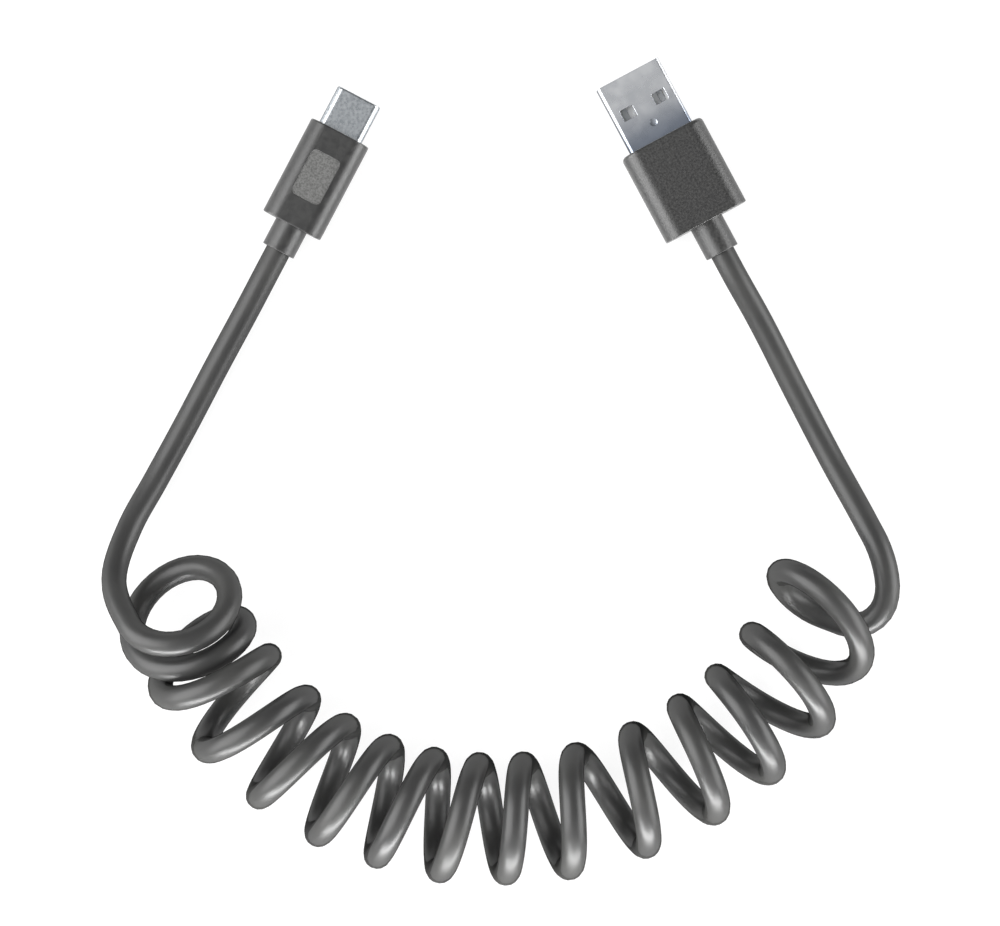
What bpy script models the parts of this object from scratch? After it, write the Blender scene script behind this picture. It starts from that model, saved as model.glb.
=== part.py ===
"""Coiled charging cable: an oval plug, a straight lead, a curly cord, a second lead and a rectangular plug.

Metres, +Z up.  The cable lies on the plane z = 0.  The origin is under the middle of the two plugs,
+X runs from the oval plug to the rectangular one, and the curly cord hangs towards -Y.

Every piece of a plug is placed in that plug's own frame, an empty at the end of its neck:
x across the plug, y through its thickness (world up), z along it towards its mouth.
Sizes are in millimetres and are turned to metres where a shape is made.
"""
import math

import bmesh
import bpy
from mathutils import Matrix, Vector

MM = 0.001

# ---------------------------------------------------------------- cord
CORD_DIAMETER = 4.4
CURL_RADIUS = 9.35           # from a curl's middle to the middle of the cord
CURL_POINTS = 10             # points for each curl
FIRST_TURN = 1.0             # where the curls begin and end, counted in turns
LAST_TURN = 15.75
FACE_GAP = 0.3               # between one length of cord and what it meets
LEAD_STEP = 8.2              # between the points of a lead

# The curly cord's axis, one row for each place where it changes:
# turn, x, y, heading of the axis in degrees, lean of the curl forwards in degrees, height off the surface
CURL_STATIONS = [
    (1.0, -56.1, -75.8, -64, 42, 6.9),
    (1.5, -56.0, -77.9, -63, 50, 3.4),
    (2.0, -55.4, -80.3, -64, 42, 0.7),
    (2.5, -53.3, -84.5, -65, 29, 0.1),
    (3.0, -51.1, -87.2, -58, 15, 0.2),
    (4.0, -44.4, -96.1, -51, 3, 0.0),
    (5.0, -36.4, -103.0, -39, -6, 0.0),
    (6.0, -27.9, -108.4, -27, -3, 0.0),
    (7.0, -18.9, -111.7, -19, -5, 0.0),
    (8.0, -9.7, -113.8, -9, -2, 0.0),
    (9.0, -0.1, -114.1, 2, -2, 0.0),
    (10.0, 9.2, -113.4, 12, -1, 0.0),
    (11.0, 20.9, -110.2, 22, -2, 0.0),
    (12.0, 31.3, -105.2, 32, 2, 0.0),
    (13.0, 39.8, -99.1, 41, 4, 0.0),
    (14.0, 47.1, -92.2, 53, 8, 0.0),
    (15.0, 53.3, -82.5, 56, 22, 0.0),
    (15.5, 55.2, -77.4, 52, 27, 0.0),
    (16.0, 56.8, -72.4, 45, 30, 0.0),
]
# The last half curl turns outwards, round into the lead
CURL_TAIL_ROUTE = [
    (57.3, -80.1, 2.3),
    (60.5, -81.1, 3.0),
    (63.6, -80.4, 4.3),
    (65.8, -78.0, 5.7),
    (66.5, -74.6, 6.8),
    (66.1, -71.2, 7.0),
    (64.8, -67.0, 6.4),
    (63.1, -63.6, 5.5),
]
CURL_TAIL_STEP = 4.0         # between the points of that half curl
# The leads' middle lines between the plugs and the curls
C_LEAD_ROUTE = [
    (-44.1, -25.0, 2.8),
    (-49.9, -35.7, 2.3),
    (-55.8, -46.9, 2.15),
    (-60.8, -56.1, 2.6),
    (-64.9, -63.8, 4.6),
]
A_LEAD_ROUTE = [
    (57.0, -52.1, 2.5),
    (51.0, -40.5, 2.15),
    (44.1, -27.1, 3.0),
]

# ---------------------------------------------------------------- what both plugs have
FIT = 0.05                   # all round, between a piece and what holds it
CUT_OVER = 1.0               # how far a cut runs past what it cuts
WIRE_DIAMETER = 0.9
WIRE_GAP = 0.3               # between two wires
WIRE_SEAT = 1.6              # how far a wire lies on what it is soldered to
WIRE_BENDS = 5
FERRULE_WALL = 0.15
FERRULE_LENGTH = 1.6
SHIELD_WALL = 0.25
SHIELD_ROUND = 0.6
JACKET_IN_MOULD = 1.9        # how far the jacket reaches into the inner mould
MOULD_LENGTH = 6.0
MOULD_ROUND = 1.2
MOULD_SKIN = 0.2             # over the ferrule's pocket
GRIP_EDGE = 0.35             # round edges at a grip's two ends

# ---------------------------------------------------------------- oval plug
C_EXIT = (-39.3, -15.9)      # where the cord leaves the neck
C_HEADING = 62.2             # direction of the mouth, in degrees from +X
C_NECK_WALL = 0.75
C_NECK_LENGTH = 5.0
C_GRIP_LENGTH = 18.2
C_GRIP_ROUND = 3.0
C_GRIP_SIDE = 1.125          # walls of the grip round the pieces in it
C_GRIP_TOP = 0.4
C_GRIP_REAR = 2.3
C_GRIP_FRONT = 1.4
C_SHELL_WIDTH = 8.25
C_SHELL_HEIGHT = 2.4
C_SHELL_WALL = 0.28
C_SHELL_OUT = 7.1            # length that stands out of the grip
C_SHELL_IN = 3.0
C_SHIELD_HEIGHT = 3.9
C_INSULATOR_SETBACK = 0.4    # behind the shell's tip
C_SLOT_SIDE = 0.345          # insulator left beside the tongue's slot
C_SLOT_HEIGHT = 1.1
C_SLOT_DEPTH = 6.3
C_CONTACT_PITCH = 0.5
C_CONTACT_WIDTH = 0.25
C_CONTACT_THICKNESS = 0.14
C_CONTACT_TAIL = 1.4         # length on the board
C_CONTACT_STEP = 1.4         # length of the rise from the board into the groove
C_CONTACT_PRESS = 0.1        # how far the crest stands into the slot
C_CREST_SETBACK = 2.0        # behind the insulator's nose
C_CREST_LENGTH = 1.4
C_GROOVE_DEPTH = 0.2         # above and below the slot
C_GROOVE_SETBACK = 1.0
C_UPPER_PLACES = (-5.5, -2.5, -0.5, 0.5, 1.5, 2.5, 5.5)
C_LOWER_PLACES = (-5.5, -2.5, 2.5, 5.5)
C_LATCH_WIDTH = 0.6
C_LATCH_THICKNESS = 0.2
C_LATCH_ROOT = 1.6           # length behind the slot
C_LATCH_PRESS = 0.09         # how far the latch's bend stands into the slot
C_LATCH_SETBACK = 2.6        # from the insulator's nose to that bend
C_SPRING_WIDTH = 5.2
C_SPRING_LENGTH = 0.6
C_SPRING_THICKNESS = 0.07
C_SPRING_SETBACK = 0.2
C_BOARD_SIDE = 0.475         # free space beside the board
C_BOARD_THICKNESS = 0.6
C_BOARD_LENGTH = 5.8
C_BOARD_GAP = 0.2            # between the board and the insulator
C_RESISTOR = (0.5, 0.35, 1.0)
C_RESISTOR_SPOT = (0.8, 2.5)     # from the board's side and rear edges

# ---------------------------------------------------------------- rectangular plug
A_EXIT = (38.0, -16.2)
A_HEADING = 118.2
A_NECK_WALL = 0.8
A_NECK_LENGTH = 5.9
A_GRIP_LENGTH = 16.6
A_GRIP_ROUND = 3.0
A_GRIP_SIDE = 1.45           # walls of the grip round the pieces in it
A_GRIP_TOP = 1.4
A_GRIP_REAR = 1.5
A_GRIP_FRONT = 1.5
A_SHELL_WIDTH = 12.0
A_SHELL_HEIGHT = 4.5
A_SHELL_ROUND = 0.6
A_SHELL_WALL = 0.3
A_SHELL_OUT = 12.6
A_SHELL_IN = 4.5
A_LATCH_HOLE = (2.5, 2.0)    # across and along the plug
A_LATCH_OFFSET = 3.1         # from the middle line
A_LATCH_SETBACK = 6.2        # from the tip
A_DIMPLE_DIAMETER = 1.5
A_DIMPLE_DEPTH = 0.12
A_DIMPLE_SETBACK = 9.6
A_CARRIER_HEIGHT = 1.9
A_CARRIER_EDGE = 0.3         # round edges
A_CARRIER_SETBACK = 0.7
A_CARRIER_TAIL = 0.8         # behind the shell
A_CONTACT_WIDTH = 1.0
A_CONTACT_THICKNESS = 0.25
A_CONTACT_PLACES = ((-3.5, 0.6), (-1.0, 1.6), (1.0, 1.6), (3.5, 0.6))   # x, setback from the carrier's nose
A_CONTACT_TAIL = 2.0         # behind the carrier

# ---------------------------------------------------------------- worked out from the sizes above
FERRULE_BORE = CORD_DIAMETER + 2 * FIT
FERRULE_DIAMETER = FERRULE_BORE + 2 * FERRULE_WALL
FERRULE_POCKET = FERRULE_DIAMETER + 2 * FIT
MOULD_HEIGHT = FERRULE_POCKET + 2 * MOULD_SKIN

C_NECK_DIAMETER = CORD_DIAMETER + 2 * (FIT + C_NECK_WALL)
C_SHIELD_WIDTH = C_SHELL_WIDTH + 2 * (FIT + SHIELD_WALL)
C_GRIP_WIDTH = C_SHIELD_WIDTH + 2 * (FIT + C_GRIP_SIDE)
C_GRIP_HEIGHT = MOULD_HEIGHT + 2 * (FIT + C_GRIP_TOP)
C_INSULATOR_WIDTH = C_SHELL_WIDTH - 2 * (C_SHELL_WALL + FIT)
C_INSULATOR_HEIGHT = C_SHELL_HEIGHT - 2 * (C_SHELL_WALL + FIT)
C_SLOT_WIDTH = C_INSULATOR_WIDTH - 2 * C_SLOT_SIDE
C_BOARD_WIDTH = C_SHIELD_WIDTH - 2 * (SHIELD_WALL + C_BOARD_SIDE)

A_NECK_DIAMETER = CORD_DIAMETER + 2 * (FIT + A_NECK_WALL)
A_SHIELD_WIDTH = A_SHELL_WIDTH + 2 * (FIT + SHIELD_WALL)
A_SHIELD_HEIGHT = A_SHELL_HEIGHT + 2 * (FIT + SHIELD_WALL)
A_GRIP_WIDTH = A_SHIELD_WIDTH + 2 * (FIT + A_GRIP_SIDE)
A_GRIP_HEIGHT = A_SHIELD_HEIGHT + 2 * (FIT + A_GRIP_TOP)
A_CARRIER_WIDTH = A_SHELL_WIDTH - 2 * (A_SHELL_WALL + FIT)
A_CARRIER_FLOOR = A_SHELL_WALL + FIT - 0.5 * A_SHELL_HEIGHT
A_CARRIER_TOP = A_CARRIER_FLOOR + A_CARRIER_HEIGHT

# Places along each plug, from the end of its neck
C_GRIP_FACE = C_NECK_LENGTH + C_GRIP_LENGTH
C_TIP = C_GRIP_FACE + C_SHELL_OUT
C_SHELL_REAR = C_GRIP_FACE - C_SHELL_IN
C_CAVITY_REAR = C_NECK_LENGTH + C_GRIP_REAR
C_CAVITY_FRONT = C_GRIP_FACE - C_GRIP_FRONT
C_MOULD_REAR = C_CAVITY_REAR + FIT
C_MOULD_FRONT = C_MOULD_REAR + MOULD_LENGTH
C_JACKET_FRONT = C_MOULD_REAR + JACKET_IN_MOULD
C_INSULATOR_REAR = C_SHELL_REAR + 2 * FIT
C_NOSE = C_TIP - C_INSULATOR_SETBACK
C_SLOT_REAR = C_NOSE - C_SLOT_DEPTH
C_BOARD_FRONT = C_INSULATOR_REAR - C_BOARD_GAP
C_BOARD_REAR = C_BOARD_FRONT - C_BOARD_LENGTH

A_GRIP_FACE = A_NECK_LENGTH + A_GRIP_LENGTH
A_TIP = A_GRIP_FACE + A_SHELL_OUT
A_SHELL_REAR = A_GRIP_FACE - A_SHELL_IN
A_CAVITY_REAR = A_NECK_LENGTH + A_GRIP_REAR
A_CAVITY_FRONT = A_GRIP_FACE - A_GRIP_FRONT
A_MOULD_REAR = A_CAVITY_REAR + FIT
A_MOULD_FRONT = A_MOULD_REAR + MOULD_LENGTH
A_JACKET_FRONT = A_MOULD_REAR + JACKET_IN_MOULD
A_CARRIER_FRONT = A_TIP - A_CARRIER_SETBACK
A_CARRIER_REAR = A_SHELL_REAR - A_CARRIER_TAIL
A_TAIL_REAR = A_CARRIER_REAR - A_CONTACT_TAIL

WELD = 1e-6                  # metres; joins a curve's caps to its sides
SHARP_ANGLE = 30             # degrees; flatter edges than this are shaded smooth


# ================================================================ scene, materials and collections
def empty_the_scene():
    for item in list(bpy.data.objects):
        bpy.data.objects.remove(item, do_unlink=True)


def new_collection(name):
    collection = bpy.data.collections.new(name)
    bpy.context.scene.collection.children.link(collection)
    return collection


def new_material(name, colour, roughness, metallic=0.0):
    material = bpy.data.materials.new(name)
    material.use_nodes = True
    shader = material.node_tree.nodes["Principled BSDF"]
    shader.inputs["Base Color"].default_value = (*colour, 1.0)
    shader.inputs["Roughness"].default_value = roughness
    shader.inputs["Metallic"].default_value = metallic
    return material


def plug_frame(name, plug_exit, heading, height):
    """An empty at the end of the neck, its z along the plug and its y up."""
    frame = bpy.data.objects.new(name, None)
    frame.location = (plug_exit[0] * MM, plug_exit[1] * MM, 0.5 * height * MM)
    frame.rotation_euler = (math.radians(90), 0.0, math.radians(heading + 90))
    parts.objects.link(frame)
    return frame


def place(item, name, frame, material, at=(0.0, 0.0, 0.0)):
    """Name a piece, give it its material and put it at a point of the plug's frame."""
    item.name = name
    item.data.name = name
    item.parent = frame
    item.location = Vector(at) * MM
    for collection in list(item.users_collection):
        collection.objects.unlink(item)
    if material is None:
        cutters.objects.link(item)
        item.hide_render = True
        item.display_type = "WIRE"
    else:
        parts.objects.link(item)
        item.data.materials.clear()
        item.data.materials.append(material)
    return item


# ================================================================ shapes
def as_mesh(curve_object):
    """Turn a curve object into a mesh object with its caps welded on."""
    bpy.context.view_layer.update()
    evaluated = curve_object.evaluated_get(bpy.context.evaluated_depsgraph_get())
    mesh = bpy.data.meshes.new_from_object(evaluated)
    work = bmesh.new()
    work.from_mesh(mesh)
    bmesh.ops.remove_doubles(work, verts=work.verts, dist=WELD)
    bmesh.ops.recalc_face_normals(work, faces=work.faces)
    work.to_mesh(mesh)
    work.free()
    item = bpy.data.objects.new(curve_object.name, mesh)
    item.matrix_world = curve_object.matrix_world
    curve = curve_object.data
    bpy.data.objects.remove(curve_object, do_unlink=True)
    bpy.data.curves.remove(curve)
    bpy.context.scene.collection.objects.link(item)
    return item


def rounded_outline(width, height, radius, steps=5):
    """Points round a rectangle with round corners, or round a stadium when the radius is half the height."""
    radius = min(radius, 0.5 * height, 0.5 * width)
    points = []
    for corner in range(4):
        side_x = (1, -1, -1, 1)[corner]
        side_y = (1, 1, -1, -1)[corner]
        centre = Vector((side_x * (0.5 * width - radius), side_y * (0.5 * height - radius)))
        for step in range(steps + 1):
            angle = math.radians(90) * (corner + step / steps)
            point = centre + radius * Vector((math.cos(angle), math.sin(angle)))
            if not points or (point - points[-1]).length > 1e-6:
                points.append(point)
    if (points[0] - points[-1]).length < 1e-6:
        points.pop()
    return points


def prism(outlines, length, edge=0.0):
    """A flat outline, with any holes, drawn out along z.  Its middle is at z = 0."""
    curve = bpy.data.curves.new("outline", "CURVE")
    curve.dimensions = "2D"
    curve.fill_mode = "BOTH"
    curve.extrude = (0.5 * length - edge) * MM
    if edge > 0.0:
        curve.bevel_depth = edge * MM
        curve.offset = -edge * MM
        curve.bevel_resolution = 1
    for outline in outlines:
        spline = curve.splines.new("POLY")
        spline.points.add(len(outline) - 1)
        for number, point in enumerate(outline):
            spline.points[number].co = (point[0] * MM, point[1] * MM, 0.0, 1.0)
        spline.use_cyclic_u = True
    item = bpy.data.objects.new("outline", curve)
    bpy.context.scene.collection.objects.link(item)
    return as_mesh(item)


def box(width, height, length):
    bpy.ops.mesh.primitive_cube_add(size=1.0)
    item = bpy.context.object
    item.data.transform(Matrix.Diagonal((width * MM, height * MM, length * MM, 1.0)))
    return item


def rod(diameter, length, sides=24):
    bpy.ops.mesh.primitive_cylinder_add(vertices=sides, radius=0.5 * diameter * MM, depth=length * MM)
    return bpy.context.object


def tube(points, diameter, resolution):
    """A round tube with flat caps along points in millimetres."""
    curve = bpy.data.curves.new("tube", "CURVE")
    curve.dimensions = "3D"
    curve.bevel_depth = 0.5 * diameter * MM
    curve.bevel_resolution = resolution
    curve.use_fill_caps = True
    curve.render_resolution_u = 0
    spline = curve.splines.new("POLY")
    spline.points.add(len(points) - 1)
    for number, point in enumerate(points):
        spline.points[number].co = (point[0] * MM, point[1] * MM, point[2] * MM, 1.0)
    item = bpy.data.objects.new("tube", curve)
    bpy.context.scene.collection.objects.link(item)
    return item


def strip(path, width, thickness, across):
    """A bent strip of sheet metal: a ribbon along (z, offset) points, thickened half to each side."""
    mesh = bpy.data.meshes.new("strip")
    work = bmesh.new()
    rows = []
    for along, offset in path:
        row = []
        for side in (-0.5, 0.5):
            if across == "x":
                point = (side * width, offset, along)
            else:
                point = (offset, side * width, along)
            row.append(work.verts.new(Vector(point) * MM))
        rows.append(row)
    for near, far in zip(rows[:-1], rows[1:]):
        work.faces.new((near[0], near[1], far[1], far[0]))
    work.to_mesh(mesh)
    work.free()
    item = bpy.data.objects.new("strip", mesh)
    bpy.context.scene.collection.objects.link(item)
    solid = item.modifiers.new("thickness", "SOLIDIFY")
    solid.thickness = thickness * MM
    solid.offset = 0.0
    solid.use_even_offset = True
    return item


def cut(item, cutter, operation="DIFFERENCE"):
    boolean = item.modifiers.new(operation.lower(), "BOOLEAN")
    boolean.operation = operation
    boolean.solver = "EXACT"
    boolean.object = cutter


def shade_round(item):
    item.data.shade_smooth()
    item.data.set_sharp_from_angle(angle=math.radians(SHARP_ANGLE))


# ================================================================ the cord's middle line
def hermite(knots, rows, where):
    """Read a smooth curve through rows of numbers at uneven knots."""
    last = len(knots) - 1
    number = 0
    while number < last - 1 and where >= knots[number + 1]:
        number += 1

    def slope(place_):
        before = max(0, place_ - 1)
        after = min(last, place_ + 1)
        if before == place_ or after == place_:
            return (rows[after] - rows[before]) / (knots[after] - knots[before])
        back = (rows[place_] - rows[before]) / (knots[place_] - knots[before])
        ahead = (rows[after] - rows[place_]) / (knots[after] - knots[place_])
        weight = (knots[after] - knots[place_]) / (knots[after] - knots[before])
        return back * weight + ahead * (1.0 - weight)

    span = knots[number + 1] - knots[number]
    part = (where - knots[number]) / span
    start = rows[number] * (2 * part ** 3 - 3 * part ** 2 + 1)
    start_slope = slope(number) * span * (part ** 3 - 2 * part ** 2 + part)
    end = rows[number + 1] * (3 * part ** 2 - 2 * part ** 3)
    end_slope = slope(number + 1) * span * (part ** 3 - part ** 2)
    return start + start_slope + end + end_slope


def curl_point(turn):
    """The middle of the curly cord after so many turns.  It winds left-handed about its leaning axis."""
    knots = [row[0] for row in CURL_STATIONS]
    rows = [Vector(row[1:]) for row in CURL_STATIONS]
    x, y, heading, lean, lift = hermite(knots, rows, turn)
    heading = math.radians(heading)
    lean = math.radians(lean)
    forwards = Vector((math.cos(heading), math.sin(heading), 0.0))
    sideways = Vector((-forwards.y, forwards.x, 0.0))
    upwards = forwards * math.sin(lean) + Vector((0.0, 0.0, math.cos(lean)))
    middle = Vector((x, y, CURL_RADIUS * math.cos(lean) + 0.5 * CORD_DIAMETER + lift))
    angle = 2 * math.pi * turn
    return middle + CURL_RADIUS * (math.sin(angle) * upwards - math.cos(angle) * sideways)


def curl_direction(turn):
    step = 0.001
    return (curl_point(turn + step) - curl_point(turn - step)).normalized()


def smooth_points(route, step):
    """Points at an even step on a smooth curve through a route's own points."""
    rows = [Vector(point) for point in route]
    knots = [0.0]
    for near, far in zip(rows[:-1], rows[1:]):
        knots.append(knots[-1] + (far - near).length)
    count = round(knots[-1] / step)
    return [hermite(knots, rows, knots[-1] * number / count) for number in range(count + 1)]


def curl_points(points_each, tail_step):
    """The whole curly length and its last half curl, with a straight end one diameter long at each side."""
    count = round((LAST_TURN - FIRST_TURN) * points_each)
    turns = [FIRST_TURN + (LAST_TURN - FIRST_TURN) * number / count for number in range(count + 1)]
    points = [curl_point(turn) for turn in turns]
    points.insert(0, points[0] - curl_direction(FIRST_TURN) * CORD_DIAMETER)
    points += smooth_points([points[-1]] + CURL_TAIL_ROUTE, tail_step)[1:]
    points.append(points[-1] + (points[-1] - points[-2]).normalized() * CORD_DIAMETER)
    return points


def lead_points(start, start_direction, route, end, end_direction):
    """A lead's points.  Both of its ends run straight for one diameter, square to what they meet."""
    near = start + start_direction * FACE_GAP
    far = end + end_direction * FACE_GAP
    near_bend = near + start_direction * CORD_DIAMETER
    far_bend = far + end_direction * CORD_DIAMETER
    return [near] + smooth_points([near_bend] + route + [far_bend], LEAD_STEP) + [far]


def neck_end(plug_exit, heading, height):
    """The middle of a neck's end face, and the direction out of it."""
    angle = math.radians(heading)
    return Vector((*plug_exit, 0.5 * height)), -Vector((math.cos(angle), math.sin(angle), 0.0))


def least_self_gap(points):
    """The least clear distance between one stretch of the curly cord and another, on finely read points."""
    reach = 2 * CURL_RADIUS
    lengths = [0.0]
    for near, far in zip(points[:-1], points[1:]):
        lengths.append(lengths[-1] + (far - near).length)
    least = math.inf
    for number, point in enumerate(points):
        for other in range(number + 1, len(points)):
            if lengths[other] - lengths[number] > reach:
                least = min(least, (points[other] - point).length)
    return least - CORD_DIAMETER


# ================================================================ pieces both plugs have
def make_jacket_end(prefix, frame, front):
    """The cord's last stretch, from the neck's end face to where the wires come free."""
    item = rod(CORD_DIAMETER, front)
    place(item, prefix + "_jacket_end", frame, jacket_grey, (0, 0, 0.5 * front))
    shade_round(item)


def make_ferrule(prefix, frame, front):
    rings = [rounded_outline(size, size, 0.5 * size) for size in (FERRULE_DIAMETER, FERRULE_BORE)]
    item = prism(rings, FERRULE_LENGTH)
    place(item, prefix + "_ferrule", frame, brass, (0, 0, front - 0.5 * FERRULE_LENGTH))
    shade_round(item)


def make_rear_shield(prefix, frame, width, height, rear, front):
    outer = rounded_outline(width, height, SHIELD_ROUND)
    inner = rounded_outline(width - 2 * SHIELD_WALL, height - 2 * SHIELD_WALL, SHIELD_ROUND - SHIELD_WALL)
    item = prism([outer, inner], front - rear)
    place(item, prefix + "_rear_shield", frame, steel, (0, 0, 0.5 * (rear + front)))


def wire_path(start, end, rear, bend_front, front):
    """Out of the jacket, over to its place and straight on to the end."""
    points = []
    for number in range(WIRE_BENDS + 1):
        part = number / WIRE_BENDS
        ease = part * part * (3 - 2 * part)
        points.append((
            start[0] + (end[0] - start[0]) * ease,
            start[1] + (end[1] - start[1]) * ease,
            rear + (bend_front - rear) * part,
        ))
    points.append((end[0], end[1], front))
    return points


def make_wires(prefix, frame, ends, rear, bend_front, front):
    """Four wire ends.  Each starts in its quarter of the jacket's end face."""
    aside = 0.5 * (WIRE_DIAMETER + WIRE_GAP)
    starts = {
        "black": (-aside, -aside),
        "green": (-aside, aside),
        "white": (aside, aside),
        "red": (aside, -aside),
    }
    paths = []
    for colour, start in starts.items():
        path = wire_path(start, ends[colour], rear + FIT, bend_front, front)
        item = as_mesh(tube(path, WIRE_DIAMETER, 2))
        place(item, prefix + "_wire_" + colour, frame, wire_colours[colour])
        shade_round(item)
        paths.append(path)
    return paths


def make_inner_mould(prefix, frame, width, rear, front, jacket_front, wire_paths):
    item = prism([rounded_outline(width, MOULD_HEIGHT, MOULD_ROUND)], front - rear)
    place(item, prefix + "_inner_mould", frame, inner_plastic, (0, 0, 0.5 * (rear + front)))
    pocket_front = jacket_front + FIT
    pocket_length = pocket_front - rear + CUT_OVER
    pocket = rod(FERRULE_POCKET, pocket_length)
    place(pocket, prefix + "_mould_pocket", frame, None, (0, 0, pocket_front - 0.5 * pocket_length))
    cut(item, pocket)
    for number, path in enumerate(wire_paths):
        start = Vector(path[0]) - Vector((0, 0, 2 * FIT))
        bore = as_mesh(tube([start] + path[1:], WIRE_DIAMETER + 2 * FIT, 2))
        place(bore, prefix + "_wire_bore_%d" % number, frame, None)
        cut(item, bore)


def make_overmould(prefix, frame, grip, neck, cavities, shell_outline):
    """The grip and its neck in one moulding, hollow where the pieces inside it sit."""
    width, height, length, rounding = grip
    neck_diameter, neck_length = neck
    item = prism([rounded_outline(width, height, rounding, 6)], length, GRIP_EDGE)
    place(item, prefix + "_overmould", frame, soft_grey, (0, 0, neck_length + 0.5 * length))
    stub_length = neck_length + CUT_OVER
    stub = rod(neck_diameter, stub_length, 32)
    place(stub, prefix + "_neck", frame, None, (0, 0, 0.5 * stub_length))
    cut(item, stub, "UNION")
    for number, (outline, near, far) in enumerate(cavities):
        hollow = prism([outline], far - near)
        place(hollow, prefix + "_cavity_%d" % number, frame, None, (0, 0, 0.5 * (near + far)))
        cut(item, hollow)
    face = neck_length + length
    window_rear = cavities[-1][2] - CUT_OVER
    window_length = face - window_rear + CUT_OVER
    window = prism([shell_outline], window_length)
    place(window, prefix + "_window", frame, None, (0, 0, window_rear + 0.5 * window_length))
    cut(item, window)
    bore_length = cavities[0][1] + 2 * CUT_OVER
    bore = rod(CORD_DIAMETER + 2 * FIT, bore_length)
    place(bore, prefix + "_neck_bore", frame, None, (0, 0, 0.5 * bore_length - CUT_OVER))
    cut(item, bore)
    shade_round(item)


# ================================================================ oval plug
def make_c_shell(frame):
    inner_width = C_SHELL_WIDTH - 2 * C_SHELL_WALL
    inner_height = C_SHELL_HEIGHT - 2 * C_SHELL_WALL
    outer = rounded_outline(C_SHELL_WIDTH, C_SHELL_HEIGHT, 0.5 * C_SHELL_HEIGHT, 6)
    inner = rounded_outline(inner_width, inner_height, 0.5 * inner_height, 6)
    item = prism([outer, inner], C_TIP - C_SHELL_REAR)
    place(item, "c_plug_shell", frame, steel, (0, 0, 0.5 * (C_TIP + C_SHELL_REAR)))
    shade_round(item)


def cut_between(item, name, frame, width, height, across, up, rear, front):
    """Cut a straight-sided hollow whose middle is at (across, up), from rear to front."""
    hollow = box(width, height, front - rear)
    place(hollow, name, frame, None, (across, up, 0.5 * (rear + front)))
    cut(item, hollow)


def make_c_insulator(frame):
    """Black housing with the tongue's slot, a groove for each contact and a window for each latch."""
    outline = rounded_outline(C_INSULATOR_WIDTH, C_INSULATOR_HEIGHT, 0.5 * C_INSULATOR_HEIGHT, 6)
    item = prism([outline], C_NOSE - C_INSULATOR_REAR)
    place(item, "c_plug_insulator", frame, black_plastic, (0, 0, 0.5 * (C_NOSE + C_INSULATOR_REAR)))
    cut_between(item, "c_plug_slot", frame, C_SLOT_WIDTH, C_SLOT_HEIGHT, 0, 0, C_SLOT_REAR, C_NOSE + CUT_OVER)

    low = 0.5 * C_BOARD_THICKNESS
    high = 0.5 * C_SLOT_HEIGHT + C_GROOVE_DEPTH
    for word, side, places in (("upper", 1, C_UPPER_PLACES), ("lower", -1, C_LOWER_PLACES)):
        for number, at in enumerate(places):
            cut_between(item, "c_plug_groove_%s_%d" % (word, number), frame,
                        C_CONTACT_WIDTH + 2 * FIT, high - low,
                        at * C_CONTACT_PITCH, side * 0.5 * (low + high),
                        C_INSULATOR_REAR - CUT_OVER, C_NOSE - C_GROOVE_SETBACK)

    window_rear = C_SLOT_REAR - C_LATCH_ROOT - 2 * FIT
    spring_rear = C_NOSE - C_SPRING_SETBACK - C_SPRING_LENGTH - FIT
    spring_floor = 0.5 * C_INSULATOR_HEIGHT - C_SPRING_THICKNESS - FIT
    for word, side in (("first", -1), ("second", 1)):
        cut_between(item, "c_plug_latch_window_" + word, frame,
                    2 * C_SLOT_SIDE + CUT_OVER, C_LATCH_WIDTH + 4 * FIT,
                    side * 0.5 * (C_SLOT_WIDTH + CUT_OVER), 0,
                    window_rear, C_NOSE - C_GROOVE_SETBACK)
        cut_between(item, "c_plug_spring_recess_" + word, frame,
                    C_SPRING_WIDTH + 4 * FIT, CUT_OVER,
                    0, side * (spring_floor + 0.5 * CUT_OVER),
                    spring_rear, spring_rear + C_SPRING_LENGTH + 2 * FIT)


def make_c_contacts(frame):
    """Sprung strips: flat on the board, up into the groove, then bent in to press on the tongue."""
    on_board = 0.5 * (C_BOARD_THICKNESS + C_CONTACT_THICKNESS) + FIT
    in_groove = 0.5 * (C_SLOT_HEIGHT + C_CONTACT_THICKNESS)
    pressing = 0.5 * C_SLOT_HEIGHT - C_CONTACT_PRESS
    rise_front = C_SLOT_REAR + 0.3 * C_CONTACT_STEP
    for word, side, places in (("upper", 1, C_UPPER_PLACES), ("lower", -1, C_LOWER_PLACES)):
        path = [
            (C_BOARD_FRONT - C_CONTACT_TAIL, side * on_board),
            (rise_front - C_CONTACT_STEP, side * on_board),
            (rise_front, side * in_groove),
            (C_NOSE - C_CREST_SETBACK - C_CREST_LENGTH, side * in_groove),
            (C_NOSE - C_CREST_SETBACK, side * pressing),
            (C_NOSE - C_CREST_SETBACK + 0.5 * C_CREST_LENGTH, side * (pressing + C_CONTACT_PRESS)),
        ]
        for number, at in enumerate(places):
            item = strip(path, C_CONTACT_WIDTH, C_CONTACT_THICKNESS, "x")
            place(item, "c_plug_contact_%s_%d" % (word, number + 1), frame, gold, (at * C_CONTACT_PITCH, 0, 0))


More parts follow.
